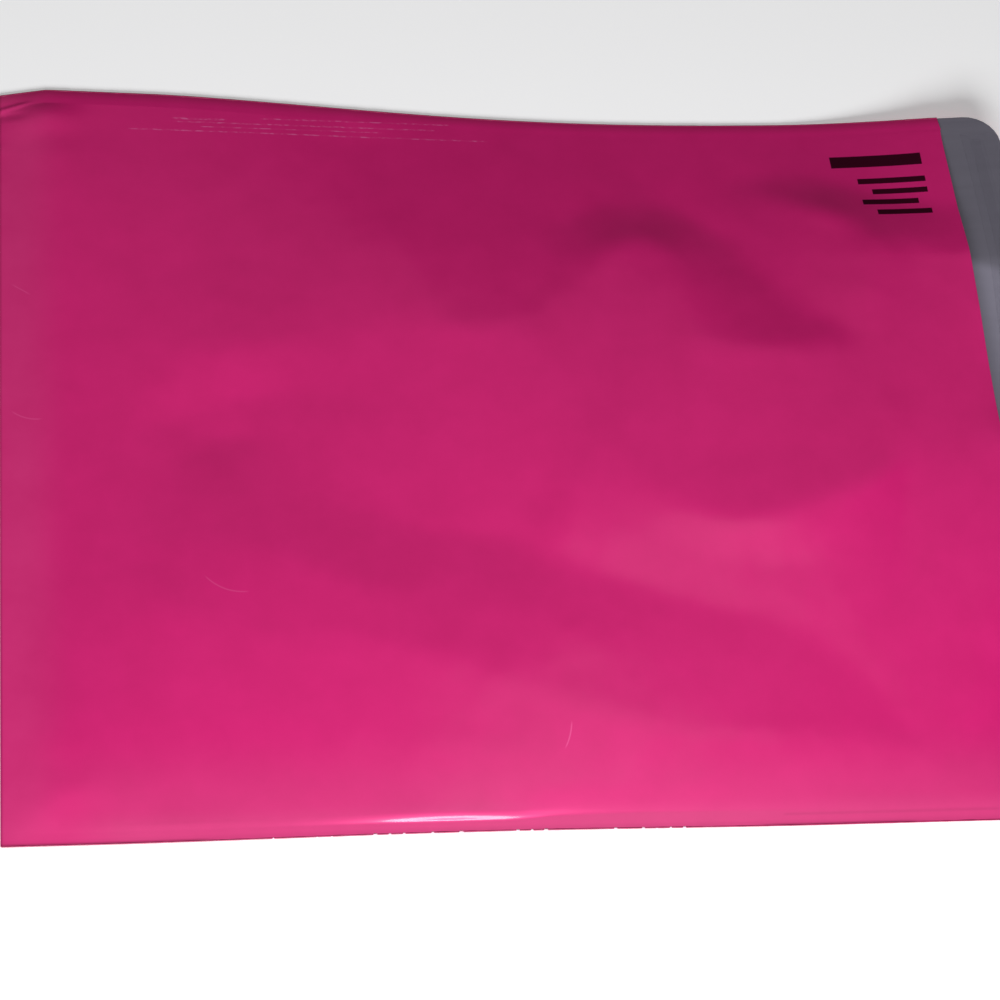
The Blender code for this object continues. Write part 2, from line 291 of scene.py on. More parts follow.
HOLLOW_SHARES = {
    "round the peak": ((0.515, 0.705, 0.65), (0.54, 0.79, 0.53), (0.56, 0.85, 0.35), (0.59, 0.878, 0.29),
                       (0.64, 0.888, 0.29), (0.68, 0.876, 0.27), (0.72, 0.835, 0.35), (0.745, 0.785, 0.49),
                       (0.785, 0.725, 0.63), (0.83, 0.685, 0.72), (0.855, 0.645, 0.82)),
    "under the swell": ((0.12, 0.40, 0.13), (0.15, 0.46, 0.12), (0.19, 0.50, 0.11), (0.22, 0.51, 0.13),
                        (0.25, 0.49, 0.24), (0.295, 0.44, 0.32), (0.345, 0.39, 0.36), (0.41, 0.37, 0.39),
                        (0.47, 0.37, 0.425), (0.51, 0.338, 0.47), (0.56, 0.31, 0.48), (0.635, 0.28, 0.465),
                        (0.71, 0.256, 0.44), (0.76, 0.23, 0.40), (0.805, 0.17, 0.29), (0.84, 0.115, 0.19),
                        (0.88, 0.075, 0.14)),
    "above the pleat": ((0.565, 0.51, 0.74), (0.60, 0.48, 0.75), (0.65, 0.485, 0.76), (0.71, 0.485, 0.79),
                        (0.765, 0.50, 0.84), (0.81, 0.525, 0.87), (0.865, 0.54, 0.86)),
    "slant crease": ((0.57, 0.51, 0.74), (0.55, 0.445, 0.71), (0.53, 0.38, 0.59), (0.51, 0.338, 0.475)),
    "far mouth hollow": ((0.755, 0.93, 0.15), (0.82, 0.93, 0.19), (0.89, 0.905, 0.24), (0.94, 0.885, 0.24),
                         (0.98, 0.87, 0.21)),
    "corner pleat": ((0.00, 0.935, 0.02), (0.045, 0.95, 0.06), (0.10, 0.96, 0.02)),
}
MOUTH_RISE_SHARES = ((0.00, 0.00), (0.12, 0.14), (0.30, 0.57), (0.50, 0.86), (0.70, 0.65), (0.80, 0.43),
                     (0.87, 0.20), (0.92, 0.14), (1.00, 0.00))
print("fold lines:", len(CREST_SHARES), "crests and", len(HOLLOW_SHARES), "hollows")

# %% Hold the lines
COARSE = (84, 110)           # cells across and along
FINE = (168, 220)
COARSE_SWEEPS = 700
FINE_SWEEPS = 200
SOFTENING_SWEEPS = 6


def held_points(shape):
    """Heights of the grid points that are held, and where they are: the rim and the fold lines."""
    rows, columns = shape
    height = np.zeros((rows + 1, columns + 1))
    held = np.zeros(height.shape, dtype=bool)
    held[0, :] = held[-1, :] = held[:, 0] = held[:, -1] = True
    across, rise = np.array(MOUTH_RISE_SHARES).T
    height[:, -1] = np.interp(np.linspace(0.0, 1.0, rows + 1), across, rise)
    for lines in (HOLLOW_SHARES, CREST_SHARES):
        for points in lines.values():
            for start, end in zip(points[:-1], points[1:]):
                span = np.abs(np.subtract(end, start))
                steps = 2 + int(2 * max(span[0] * columns, span[1] * rows))
                for share in np.linspace(0.0, 1.0, steps):
                    along, over, up = (1 - share) * np.array(start) + share * np.array(end)
                    height[round(over * rows), round(along * columns)] = up
                    held[round(over * rows), round(along * columns)] = True
    return height, held


print("points held on the coarse grid:", int(held_points(COARSE)[1].sum()))


# %% Let the film settle
def settle(height, free, swell, sweeps):
    """Let each free point go to the mean of its neighbours plus the swell, again and again."""
    for _ in range(sweeps):
        mean = np.zeros_like(height)
        mean[1:-1, 1:-1] = 0.25 * (height[:-2, 1:-1] + height[2:, 1:-1]
                                   + height[1:-1, :-2] + height[1:-1, 2:])
        height[free] = mean[free] + swell


def swelling(shape):
    """What the air adds at each sweep, so that film held only at its two sides would bulge by PRESSURE."""
    return 8.0 * PRESSURE / shape[0] ** 2


def relief():
    coarse, held = held_points(COARSE)
    settle(coarse, ~held, swelling(COARSE), COARSE_SWEEPS)
    fine, held = held_points(FINE)
    start = np.zeros_like(fine)
    start[::2, ::2] = coarse
    start[1::2, ::2] = 0.5 * (start[:-1:2, ::2] + start[2::2, ::2])
    start[:, 1::2] = 0.5 * (start[:, :-1:2] + start[:, 2::2])
    fine = np.where(held, fine, start)
    settle(fine, ~held, swelling(FINE), FINE_SWEEPS)
    inner = np.zeros(fine.shape, dtype=bool)
    inner[1:-1, 1:-1] = True
    settle(fine, inner, 0.0, SOFTENING_SWEEPS)
    return fine


RISE = relief()
print("relief from", RISE.min().round(2), "to", RISE.max().round(2), "of the puff")

# %% [markdown]
# ## Edges
# Film can't stretch. Where the front panel is puffed, it pulls the edges in: the far edge by 5 mm, the near
# one by under 1 mm, and the mouth's edge by 3 mm. The far corner of the mouth is pulled back further and
# curled up a little, flap and all. These small pulls make the outline look like film and not like a card.

# %% Edges and curl
FAR_DRAW = (0.0050, 0.57, 0.42, 1.5)     # most that it draws in, where, how far to each side, and its power
NEAR_DRAW = (0.0008, 0.42, 0.35, 2.0)
PANEL_DRAW = 0.0034
CORNER_DRAW = 0.0045
DRAW_REACH = 0.060
CORNER_BEND = 0.009
CURL_REACH_X = 0.091
CURL_START_Y = 0.010
CURL_RUN_Y = 0.060
CURL_POWER = 1.6
PLEAT_TURN = 0.0030
PLEAT_LENGTH = 0.015


def edge_draw(x, most, centre, reach, power):
    share = np.clip(((x - CLOSED_END) / BAG_LENGTH - centre) / reach, -1.0, 1.0)
    return most * np.maximum(np.cos(share * math.pi / 2), 0.0) ** power


def corner_inset(x):
    into = np.clip(x - (FLAP_END - FLAP_CORNER_RADIUS), 0.0, FLAP_CORNER_RADIUS)
    return FLAP_CORNER_RADIUS - np.sqrt(FLAP_CORNER_RADIUS ** 2 - into ** 2)


def far_edge(x):
    pleat = np.maximum(0.0, 1.0 - (x - CLOSED_END) / PLEAT_LENGTH)
    return HALF_WIDTH - edge_draw(x, *FAR_DRAW) - PLEAT_TURN * pleat - corner_inset(x)


def near_edge(x):
    return -HALF_WIDTH + edge_draw(x, *NEAR_DRAW) + corner_inset(x)


def drawn_back(x, share, is_front):
    """How far a point is pulled towards the closed end, near the mouth."""
    near_mouth = np.clip((x - MOUTH + DRAW_REACH) / DRAW_REACH, 0.0, 1.0) ** 2
    inside = np.clip((share - WELD_SHARE) / (1 - 2 * WELD_SHARE), 0.0, 1.0)
    middle = is_front * PANEL_DRAW * np.sqrt(np.maximum(np.sin(math.pi * inside), 0.0))
    return near_mouth * (middle + CORNER_DRAW * share ** 6)


def curl(x, y):
    along = np.maximum(0.0, 1.0 - (FLAP_END - x) / CURL_REACH_X)
    over = np.clip((y - CURL_START_Y) / CURL_RUN_Y, 0.0, 1.0)
    return along ** 2 * over ** CURL_POWER


middle_x = CLOSED_END + FAR_DRAW[1] * BAG_LENGTH
print("width at the puff, in mm:", round(float(1000 * (far_edge(middle_x) - near_edge(middle_x))), 1))


# %% The sheet's path
CUT_EDGE = 0.00012           # a station this close to the mouth keeps the cut edge crisp
CLOSE_LENGTH = 0.0165        # of the front panel at the closed end, where the stations lie closer together
FLAP_TIP = 86.0              # degrees round the flap's corner at which the first station lies
EDGE_ROWS = (0.0, 0.12, 0.4, 1.0, 1.8, 2.5, 2.9, 3.2, 3.5, 3.8, 4.1, 4.4, 4.7, 5.0, 5.4, 5.8, 6.3, 6.9, 7.6,
             8.6, 9.8)       # mm in from a side
MIDDLE_START = 0.0115        # from here in, the rows are evenly spaced


def sheet_path():
    """Stations along the sheet: flap, back panel, fold, front panel, and the level of each."""
    angles = np.radians(np.linspace(FLAP_TIP, 0.0, 8))
    flap = FLAP_END - FLAP_CORNER_RADIUS * (1 - np.sin(angles))
    flap = np.concatenate([flap, np.linspace(flap[-1], MOUTH, 6)[1:]])
    start = CLOSED_END + PANEL_STEP / 2 + FILM / 2
    back = np.concatenate([np.linspace(MOUTH, FLAP_END - CURL_REACH_X, 30)[1:],
                           np.linspace(FLAP_END - CURL_REACH_X, start, 6)[1:]])
    turns = np.linspace(0, math.pi, 8)[1:-1]
    fold_x = start - PANEL_STEP / 2 * np.sin(turns)
    fold_z = PANEL_STEP / 2 * (1 - np.cos(turns))
    front = np.concatenate([np.linspace(start, CLOSED_END + CLOSE_LENGTH, 24),
                            np.linspace(CLOSED_END + CLOSE_LENGTH, MOUTH, 180)[1:-1],
                            (MOUTH - CUT_EDGE, MOUTH)])
    x = np.concatenate([flap, back, fold_x, front])
    level = np.concatenate([np.zeros(len(flap) + len(back)), fold_z, np.full(len(front), PANEL_STEP)])
    is_front = np.concatenate([np.zeros(len(flap) + len(back) + len(fold_x)), np.ones(len(front))])
    return x, level + FILM / 2, is_front


def sheet_rows():
    """Rows across the sheet, closest together where the film leaves each weld."""
    edge = np.array(EDGE_ROWS) / 1000
    middle = np.linspace(MIDDLE_START, BAG_WIDTH - MIDDLE_START, 126)
    return np.concatenate([edge, middle, BAG_WIDTH - edge[::-1]]) / BAG_WIDTH


PATH_X, PATH_LEVEL, IS_FRONT = sheet_path()
ROWS = sheet_rows()
print("sheet of", len(ROWS), "rows and", len(PATH_X), "stations")

# %% [markdown]
# ## Folding, then puffing
# First the sheet is laid out folded but flat, and each point keeps a few numbers: how far the air lifts it,
# how far the mouth's bent corner lifts it, and how much it carries of the ridge beside the weld, of the
# weld's lean and of the corner's pleats. The ridge rises sharply where the film leaves the weld and then
# eases off, which gives a thin bright line with a soft side. Then a Geometry Nodes tree adds these up and
# lifts the points. The puff, the bend, the ridge, the lean and the fine crinkles are the tree's inputs, so
# the air can be let out of the bag by changing one number.

# %% Ridges and pleats
TIGHT_PLACE = 0.40           # where along the near weld the film is pulled tightest, as a share of the length
RIDGE_START = 0.0032
RIDGE_WANDER = 0.0011        # how much further in the ridge starts on the mouth side of its tightest place
RIDGE_RUN = 0.00052
RIDGE_TOP = 4 * RIDGE_RUN    # the ridge keeps its height for this far, and then fades
RIDGE_FADE = 0.0100
RIDGE_ENDS = 0.05            # share of the length over which the ridge starts and ends
LEAN_START = 0.03            # and over which the lean starts
WANDER_START = TIGHT_PLACE + 0.05
WANDER_RUN = 0.06
TIGHT_REACH = 0.085
SLACK_RIDGE = 0.03
FAR_RIDGE = 0.0
WELD_TILT_FADE = 0.018
PLEATS = (
    ((-0.1758, 0.1180), (-0.1640, 0.1222), 0.0008, 0.6),
    ((-0.1758, 0.1160), (-0.1650, 0.1170), 0.0008, -0.4),
    ((-0.1758, 0.1140), (-0.1650, 0.1150), 0.0010, 0.4),
)


def ridge_share(from_side, along, share):
    """The film stands up sharply where it leaves a weld, then eases off."""
    wander = np.clip((along - WANDER_START) / WANDER_RUN, 0.0, 1.0)
    beyond = from_side - RIDGE_START - RIDGE_WANDER * wander * wander * (3 - 2 * wander)
    steep = np.maximum(0.0, beyond) / RIDGE_RUN
    climb = 1.0 - (1.0 + steep) * np.exp(-steep)
    fade = np.exp(-np.maximum(0.0, beyond - RIDGE_TOP) / RIDGE_FADE)
    tight = np.exp(-((along - TIGHT_PLACE) / TIGHT_REACH) ** 2)
    pull = np.where(share < 0.5, SLACK_RIDGE + (1 - SLACK_RIDGE) * tight, FAR_RIDGE)
    ends = np.clip(along / RIDGE_ENDS, 0.0, 1.0) * np.clip((1.0 - along) / RIDGE_ENDS, 0.0, 1.0)
    return climb * fade * pull * ends


def weld_tilt(from_side):
    """The welded band leans up from the cut edge to the panel, and the lean dies away on the panel."""
    beyond = np.maximum(0.0, from_side - WELD_WIDTH)
    return np.clip(from_side / WELD_WIDTH, 0.0, 1.0) * np.exp(-beyond / WELD_TILT_FADE)


def pleat_share(x, y):
    """Narrow ridges and grooves along short lines at the far corner of the closed end."""
    total = np.zeros(x.shape)
    for (x0, y0), (x1, y1), width, share in PLEATS:
        length = math.hypot(x1 - x0, y1 - y0)
        along = ((x - x0) * (x1 - x0) + (y - y0) * (y1 - y0)) / length
        aside = ((y - y0) * (x1 - x0) - (x - x0) * (y1 - y0)) / length
        fade = np.clip((length - along) / (0.4 * length), 0.0, 1.0)
        total += share * np.exp(-(aside / width) ** 2) * fade
    return total


print("pleats at the corner:", len(PLEATS))


# %% Folded flat
def read_relief(along, over):
    column = np.clip(along, 0, 1) * FINE[1]
    row = np.clip(over, 0, 1) * FINE[0]
    left = np.minimum(column.astype(int), FINE[1] - 1)
    low = np.minimum(row.astype(int), FINE[0] - 1)
    fx = column - left
    fy = row - low
    near = RISE[low, left] * (1 - fx) + RISE[low, left + 1] * fx
    far = RISE[low + 1, left] * (1 - fx) + RISE[low + 1, left + 1] * fx
    return near * (1 - fy) + far * fy


def grid_mesh(name, points, attributes):
    """A mesh of quads over an array of points, rows by columns, with a number per point for each name."""
    rows, columns, _ = points.shape
    index = np.arange(rows * columns).reshape(rows, columns)
    quads = np.stack([index[:-1, :-1], index[:-1, 1:], index[1:, 1:], index[1:, :-1]], axis=-1)
    mesh = bpy.data.meshes.new(name)
    mesh.from_pydata(points.reshape(-1, 3).tolist(), [], quads.reshape(-1, 4).tolist())
    for key, values in attributes.items():
        numbers = mesh.attributes.new(key, "FLOAT", "POINT")
        numbers.data.foreach_set("value", values.astype(np.float32).ravel())
    mesh.shade_smooth()
    return add_object(name, mesh)


def fold_sheet():
    share = np.repeat(ROWS[:, None], len(PATH_X), axis=1)
    x = np.repeat(PATH_X[None, :], len(ROWS), axis=0)
    front = np.repeat(IS_FRONT[None, :], len(ROWS), axis=0)
    y = near_edge(x) + share * (far_edge(x) - near_edge(x))
    along = (x - CLOSED_END) / BAG_LENGTH
    from_side = np.minimum(share, 1 - share) * BAG_WIDTH
    numbers = {
        "rise": front * read_relief(along, (share - WELD_SHARE) / (1 - 2 * WELD_SHARE)),
        "curl": curl(x, y),
        "ridge": front * ridge_share(from_side, along, share),
        "pleat": front * pleat_share(x, y),
        "tilt": front * weld_tilt(from_side) * np.clip(along / LEAN_START, 0.0, 1.0),
        "front": front,
        "from_side": from_side,
    }
    points = np.stack([x - drawn_back(x, share, front), y, np.repeat(PATH_LEVEL[None, :], len(ROWS), 0)], -1)
    return grid_mesh("film", points, numbers)


film = fold_sheet()
print("folded flat:", len(film.data.vertices), "points")


# %% A tree for each job
def new_tree(name, inputs):
    """A Geometry Nodes tree with named inputs; returns it with its input and output nodes."""
    tree = bpy.data.node_groups.new(name, "GeometryNodeTree")
    tree.interface.new_socket(name="Geometry", in_out="INPUT", socket_type="NodeSocketGeometry")
    tree.interface.new_socket(name="Geometry", in_out="OUTPUT", socket_type="NodeSocketGeometry")
    for key, value in inputs.items():
        kind = "NodeSocketInt" if isinstance(value, int) else "NodeSocketFloat"
        tree.interface.new_socket(name=key, in_out="INPUT", socket_type=kind).default_value = value
    return tree, tree.nodes.new("NodeGroupInput").outputs, tree.nodes.new("NodeGroupOutput").inputs


def coat(tree, geometry, material):
    """Realize what is instanced, then give it its material."""
    real = wire(tree, "GeometryNodeRealizeInstances", {0: geometry}).outputs[0]
    return wire(tree, "GeometryNodeSetMaterial", {"Geometry": real, "Material": material}).outputs[0]


def run_tree(item, tree, inputs):
    """Set the inputs by identifier, evaluate, and keep the result as a plain mesh object."""
    modifier = item.modifiers.new(tree.name, "NODES")
    modifier.node_group = tree
    for socket in tree.interface.items_tree:
        if socket.in_out == "INPUT" and socket.name in inputs:
            modifier[socket.identifier] = inputs[socket.name]
    graph = bpy.context.evaluated_depsgraph_get()
    mesh = bpy.data.meshes.new_from_object(item.evaluated_get(graph), depsgraph=graph)
    name = item.name
    bpy.data.objects.remove(item)
    mesh.name = name
    return add_object(name, mesh)


def settle_in(piece, node):
    """The piece rides with the bag and stands for its solid, which is hidden."""
    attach(piece, "root")
    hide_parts(node)


print("tree helpers ready")

# %% [markdown]
# ## The pink face
# The film's outer face is pigmented hot pink with a soft gloss. It isn't one flat colour: the pigment is a
# little cloudy, and light and shade are painted into it: a paler painted sheen on the closed end where the
# film rolls over, a painted sheen beside the near weld, painted shade along the cut sides and a painted
# shadow under parts of the near edge, painted shade along a faint crease and at the closed end's fold, and
# fine broken painted glints beside the far weld. There are also four hair-thin scratches, each with its own
# strength. The print is a few plain bars of dull ink. The gloss has two layers, as on real film: a broad
# sheen from its uneven skin, and a sharper coat that glints where the film turns steeply. All of it is made
# with nodes on the bag's own coordinates, so it stays put when the camera moves.

# %% Masks for a material
def fall(tree, value, start, end):
    """One below start, nought above end."""
    return wire(tree, "ShaderNodeMapRange", {"Value": value, "From Min": start, "From Max": end,
                                             "To Min": 1.0, "To Max": 0.0},
                interpolation_type="SMOOTHSTEP").outputs[0]


def between(tree, value, low, high, soft):
    """One inside low..high, nought outside; the edges are as wide as soft, at most high - low."""
    return maths(tree, "SUBTRACT", fall(tree, value, high - soft / 2, high + soft / 2),
                 fall(tree, value, low - soft / 2, low + soft / 2))


def thin_line(tree, x, y, start, end, width, bow=0.0):
    """A line from start to end that bows sideways like an arc."""
    (x0, y0), (x1, y1) = start, end
    length = math.hypot(x1 - x0, y1 - y0)
    cx, cy = (x1 - x0) / length, (y1 - y0) / length
    from_x = maths(tree, "SUBTRACT", x, x0)
    from_y = maths(tree, "SUBTRACT", y, y0)
    along = maths(tree, "ADD", times(tree, from_x, cx), times(tree, from_y, cy))
    aside = maths(tree, "SUBTRACT", times(tree, from_y, cx), times(tree, from_x, cy))
    if bow:
        share = maths(tree, "DIVIDE", along, length)
        arch = times(tree, share, maths(tree, "SUBTRACT", 1.0, share), 4 * bow)
        aside = maths(tree, "SUBTRACT", aside, arch)
    return times(tree, between(tree, along, 0.0, length, 0.002),
                 between(tree, aside, -width / 2, width / 2, width))


def mix(tree, factor, first, second):
    blend = wire(tree, "ShaderNodeMix", {"Factor": factor}, data_type="RGBA")
    for socket, value in ((blend.inputs[6], first), (blend.inputs[7], second)):
        if isinstance(value, bpy.types.NodeSocket):
            tree.links.new(value, socket)
        else:
            socket.default_value = value
    return blend.outputs[2]


print("mask helpers ready")

# %% Pink film
DEEP_PINK = (0.790, 0.0070, 0.196, 1.0)
CLEAR_PINK = (0.835, 0.0090, 0.212, 1.0)
END_SHEEN_PINK = (0.80, 0.075, 0.275, 1.0)
SHEEN_PINK = (0.97, 0.60, 0.78, 1.0)
SHADE_PINK = (0.30, 0.006, 0.070, 1.0)
INK = (0.045, 0.001, 0.012, 1.0)
MARK = (0.95, 0.10, 0.36, 1.0)
GLINT_PINK = (0.99, 0.22, 0.55, 1.0)
NEAR_SHADOW_SPANS = ((-0.1760, -0.1160), (0.0560, 0.1030))
CREASE_SHADE_LINE = ((0.0610, -0.1236), (0.1320, -0.1236))
GLOSS = 0.39
COAT = 0.64
INK_DULLS = 0.85             # share of the gloss that the ink takes away
END_SHEEN = 0.20
PAINTED_SHEEN_START = 0.003
PAINTED_SHEENS = ((0.034, 0.044), (0.010, 0.028))    # how far in from the near side, and how strongly
PAINTED_SHEEN_LOST = 0.7             # share of the painted sheen that is taken off at the closed end
RIM_SHADES = (                     # which sides, how far in it starts and ends to fade, and how dark it is
    ("both", 0.0002, 0.0020, 0.16),
    ("far", 0.0006, 0.0042, 0.40),
    ("near_shadow", 0.0003, 0.0009, 0.45),
)
GLINT_STRENGTH = 0.54
SCRATCH_WIDTH = 0.00035
SCRATCHES = (                # start, end, bow and how strongly it shows
    ((-0.1713, 0.0544), (-0.1664, 0.0513), 0.0, 0.43),
    ((-0.1715, 0.0102), (-0.1633, 0.0079), -0.0008, 0.50),
    ((-0.1143, -0.0458), (-0.1021, -0.0508), -0.0015, 0.45),
    ((-0.0048, -0.0944), (-0.0071, -0.1017), 0.0004, 0.90),
)
GLINT_LINES = (
    ((-0.1334, 0.1132), (-0.0136, 0.1130), 0.0004),
    ((-0.1186, 0.1166), (-0.0319, 0.1168), 0.0004),
    ((-0.0900, 0.1189), (-0.0268, 0.1193), 0.0004),
    ((-0.1100, 0.1149), (-0.0500, 0.1151), 0.0003),
    ((-0.1190, 0.1178), (-0.1020, 0.1180), 0.0006),
)
INK_CORNER = (0.1083, 0.1110)
INK_SLANT = 0.05
INK_BARS = (                 # from and to along the bag, from and to across it
    (0.0, 0.0330, -0.0048, 0.0),
    (0.0085, 0.0330, -0.0120, -0.0097),
    (0.0130, 0.0330, -0.0165, -0.0143),
    (0.0085, 0.0290, -0.0210, -0.0188),
    (0.0130, 0.0330, -0.0255, -0.0233),
)


def ink_bars(tree, x, y):
    """Plain bars, slanted a little against the bag, as wide and high from their common corner as listed."""
    across = maths(tree, "SUBTRACT", x, INK_CORNER[0])
    slant = times(tree, across, INK_SLANT)
    down = maths(tree, "SUBTRACT", maths(tree, "SUBTRACT", y, INK_CORNER[1]), slant)
    return add_up(tree, [times(tree, between(tree, across, x0, x1, 0.0003),
                               between(tree, down, y0, y1, 0.0003)) for x0, x1, y0, y1 in INK_BARS])


def pink_film():
    material, tree, shader = new_material("pink film", IOR=1.50, Coat_Roughness=0.185)
    place = wire(tree, "ShaderNodeTexCoord").outputs["Object"]
    parts = wire(tree, "ShaderNodeSeparateXYZ", {0: place})
    x, y = parts.outputs[0], parts.outputs[1]
    front = wire(tree, "ShaderNodeAttribute", attribute_name="front").outputs["Fac"]
    from_side = wire(tree, "ShaderNodeAttribute", attribute_name="from_side").outputs["Fac"]

    cloud = wire(tree, "ShaderNodeTexNoise", {"Vector": place, "Scale": 70.0, "Detail": 3.0,
                                              "Roughness": 0.6})
    colour = mix(tree, to_range(tree, cloud.outputs["Fac"], 0.0, 1.0, 0.3, 0.7), DEEP_PINK, CLEAR_PINK)

    # Painted sheen: the closed end, where the film rolls over, is painted paler in patches.
    patchiness = maths(tree, "ADD", 0.5, cloud.outputs["Fac"])
    end_sheen = times(tree, fall(tree, x, CLOSED_END + 0.006, CLOSED_END + 0.022), patchiness, END_SHEEN)
    colour = mix(tree, end_sheen, colour, END_SHEEN_PINK)
    near = maths(tree, "LESS_THAN", y, 0.0)
    far = maths(tree, "SUBTRACT", 1.0, near)
    # Painted sheen: pale pink beside the near weld, partly taken off at the closed end.
    painted_sheen = add_up(tree, [times(tree, fall(tree, from_side, PAINTED_SHEEN_START, reach), strength)
                          for reach, strength in PAINTED_SHEENS])
    lost = times(tree, fall(tree, x, CLOSED_END + 0.006, CLOSED_END + 0.040), PAINTED_SHEEN_LOST)
    painted_sheen = times(tree, near, painted_sheen, maths(tree, "SUBTRACT", 1.0, lost))
    colour = mix(tree, painted_sheen, colour, SHEEN_PINK)
    # Painted shade: darker along the cut sides and deeper on the far side, with a painted shadow under two
    # stretches of the near edge.
    near_shadow = times(tree, near, add_up(tree, [between(tree, x, x0, x1, 0.01) for x0, x1 in NEAR_SHADOW_SPANS]))
    sides = {"both": 1.0, "far": far, "near_shadow": near_shadow}
    rim_shade = add_up(tree, [times(tree, fall(tree, from_side, start, end), sides[side], strength)
                        for side, start, end, strength in RIM_SHADES])
    # Painted shade along a faint crease.
    crease = times(tree, thin_line(tree, x, y, *CREASE_SHADE_LINE, 0.0008), 0.12)
    # Painted shade at the closed end's fold.
    closed_end_shade = times(tree, fall(tree, x, CLOSED_END + 0.0002, CLOSED_END + 0.0011), 0.35)
    colour = mix(tree, add_up(tree, [rim_shade, crease, closed_end_shade]), colour, SHADE_PINK)
    ink = times(tree, front, ink_bars(tree, x, y))
    colour = mix(tree, ink, colour, INK)
    bare = maths(tree, "SUBTRACT", 1.0, times(tree, ink, INK_DULLS))
    tree.links.new(times(tree, bare, GLOSS), shader.inputs["Specular IOR Level"])
    tree.links.new(times(tree, bare, COAT), shader.inputs["Coat Weight"])

    # Painted highlights: fine broken glints along lines beside the far weld.
    stretched = wire(tree, "ShaderNodeMapping", {"Vector": place, "Scale": (420.0, 900.0, 1.0)})
    dashes = wire(tree, "ShaderNodeTexNoise", {"Vector": stretched.outputs[0], "Scale": 1.0, "Detail": 1.0})
    broken = to_range(tree, dashes.outputs["Fac"], 0.12, 1.12, 0.46, 0.64)
    painted_glints = add_up(tree, [thin_line(tree, x, y, start, end, width) for start, end, width in GLINT_LINES])
    colour = mix(tree, times(tree, painted_glints, broken, GLINT_STRENGTH, front), colour, GLINT_PINK)
    scratch = add_up(tree, [times(tree, thin_line(tree, x, y, start, end, SCRATCH_WIDTH, bow), strength)
                            for start, end, bow, strength in SCRATCHES])
    tree.links.new(mix(tree, times(tree, scratch, front), colour, MARK), shader.inputs["Base Color"])

    uneven = wire(tree, "ShaderNodeTexNoise", {"Vector": place, "Scale": 90.0, "Detail": 2.0})
    rough = to_range(tree, uneven.outputs["Fac"], 0.52, 0.60, 0.3, 0.7)
    # The band of painted sheen at the closed end is also made rougher.
    tree.links.new(maths(tree, "ADD", rough, times(tree, end_sheen, 0.4)), shader.inputs["Roughness"])

    grain = wire(tree, "ShaderNodeTexNoise", {"Vector": place, "Scale": 420.0, "Detail": 2.0})
    dent(tree, shader, grain.outputs["Fac"], 1.0, 0.000016)
    return material


pink = pink_film()
print("pink film:", len(pink.node_tree.nodes), "nodes")

# %% [markdown]
# ## The grey face
# The sheet's inner layer is carbon-grey, so that nothing shows through the bag. It is seen on the flap and
# inside the mouth. It is duller than the outside, and faintly streaked along the bag by the die.

# %% Grey inner face
FLAP_LIGHT_START = 0.124           # painted light: the inner face is painted paler towards the middle of the flap than at its far corner
FLAP_LIGHT_SLANT = 0.37
FLAP_LIGHT = 0.28
DEEP_GREY = (0.164, 0.154, 0.194, 1.0)
CLEAR_GREY = (0.196, 0.185, 0.229, 1.0)
FLAP_LIGHT_GREY = (0.47, 0.44, 0.57, 1.0)


def grey_film():
    material, tree, shader = new_material("grey inner face", IOR=1.50)
    place = wire(tree, "ShaderNodeTexCoord").outputs["Object"]
    stretched = wire(tree, "ShaderNodeMapping", {"Vector": place, "Scale": (14.0, 260.0, 40.0)})
    streak = wire(tree, "ShaderNodeTexNoise", {"Vector": stretched.outputs[0], "Scale": 1.0, "Detail": 3.0})
    colour = mix(tree, streak.outputs["Fac"], DEEP_GREY, CLEAR_GREY)
    parts = wire(tree, "ShaderNodeSeparateXYZ", {0: place})
    # Painted light: the flap is painted paler on one side of a slanted line across it.
    slant = maths(tree, "ADD", parts.outputs[1], times(tree, parts.outputs[0], FLAP_LIGHT_SLANT))
    pale = times(tree, fall(tree, slant, FLAP_LIGHT_START, FLAP_LIGHT_START + 0.005), FLAP_LIGHT)
    tree.links.new(mix(tree, pale, colour, FLAP_LIGHT_GREY), shader.inputs["Base Color"])
    haze = wire(tree, "ShaderNodeTexNoise", {"Vector": place, "Scale": 60.0, "Detail": 3.0})
    tree.links.new(to_range(tree, haze.outputs["Fac"], 0.40, 0.52, 0.3, 0.7), shader.inputs["Roughness"])
    dent(tree, shader, streak.outputs["Fac"], 0.3, 0.0003)
    return material


grey = grey_film()
print("grey face:", len(grey.node_tree.nodes), "nodes")


# %% Puff up the sheet
def puff_tree():
    tree, given, output = new_tree("puff up the sheet", {
        "Puff": 0.01, "Bent Corner": 0.0, "Weld Ridge": 0.0, "Weld Tilt": 0.0, "Pleat": 0.0,
        "Crinkle": 0.0, "Crinkle Scale": 40.0, "Seed": 0})

    def per_point(name):
        return wire(tree, "GeometryNodeInputNamedAttribute", {"Name": name}, data_type="FLOAT").outputs[0]

    seed = times(tree, given["Seed"], 7.31)
    noise = wire(tree, "ShaderNodeTexNoise", {"W": seed, "Scale": given["Crinkle Scale"], "Detail": 4.0,
                                              "Roughness": 0.55}, noise_dimensions="4D")
    crinkle = times(tree, maths(tree, "SUBTRACT", noise.outputs["Fac"], 0.5), given["Crinkle"])
    raised = maths(tree, "MINIMUM", times(tree, per_point("rise"), 8.0), 1.0)
    lifts = {"rise": "Puff", "curl": "Bent Corner", "ridge": "Weld Ridge", "tilt": "Weld Tilt",
             "pleat": "Pleat"}
    lift = add_up(tree, [times(tree, per_point(name), given[height]) for name, height in lifts.items()]
                  + [times(tree, crinkle, raised)])
    offset = wire(tree, "ShaderNodeCombineXYZ", {"Z": lift}).outputs[0]
    moved = wire(tree, "GeometryNodeSetPosition", {"Geometry": given["Geometry"], "Offset": offset})
    tree.links.new(coat(tree, moved.outputs[0], pink), output[0])
    return tree


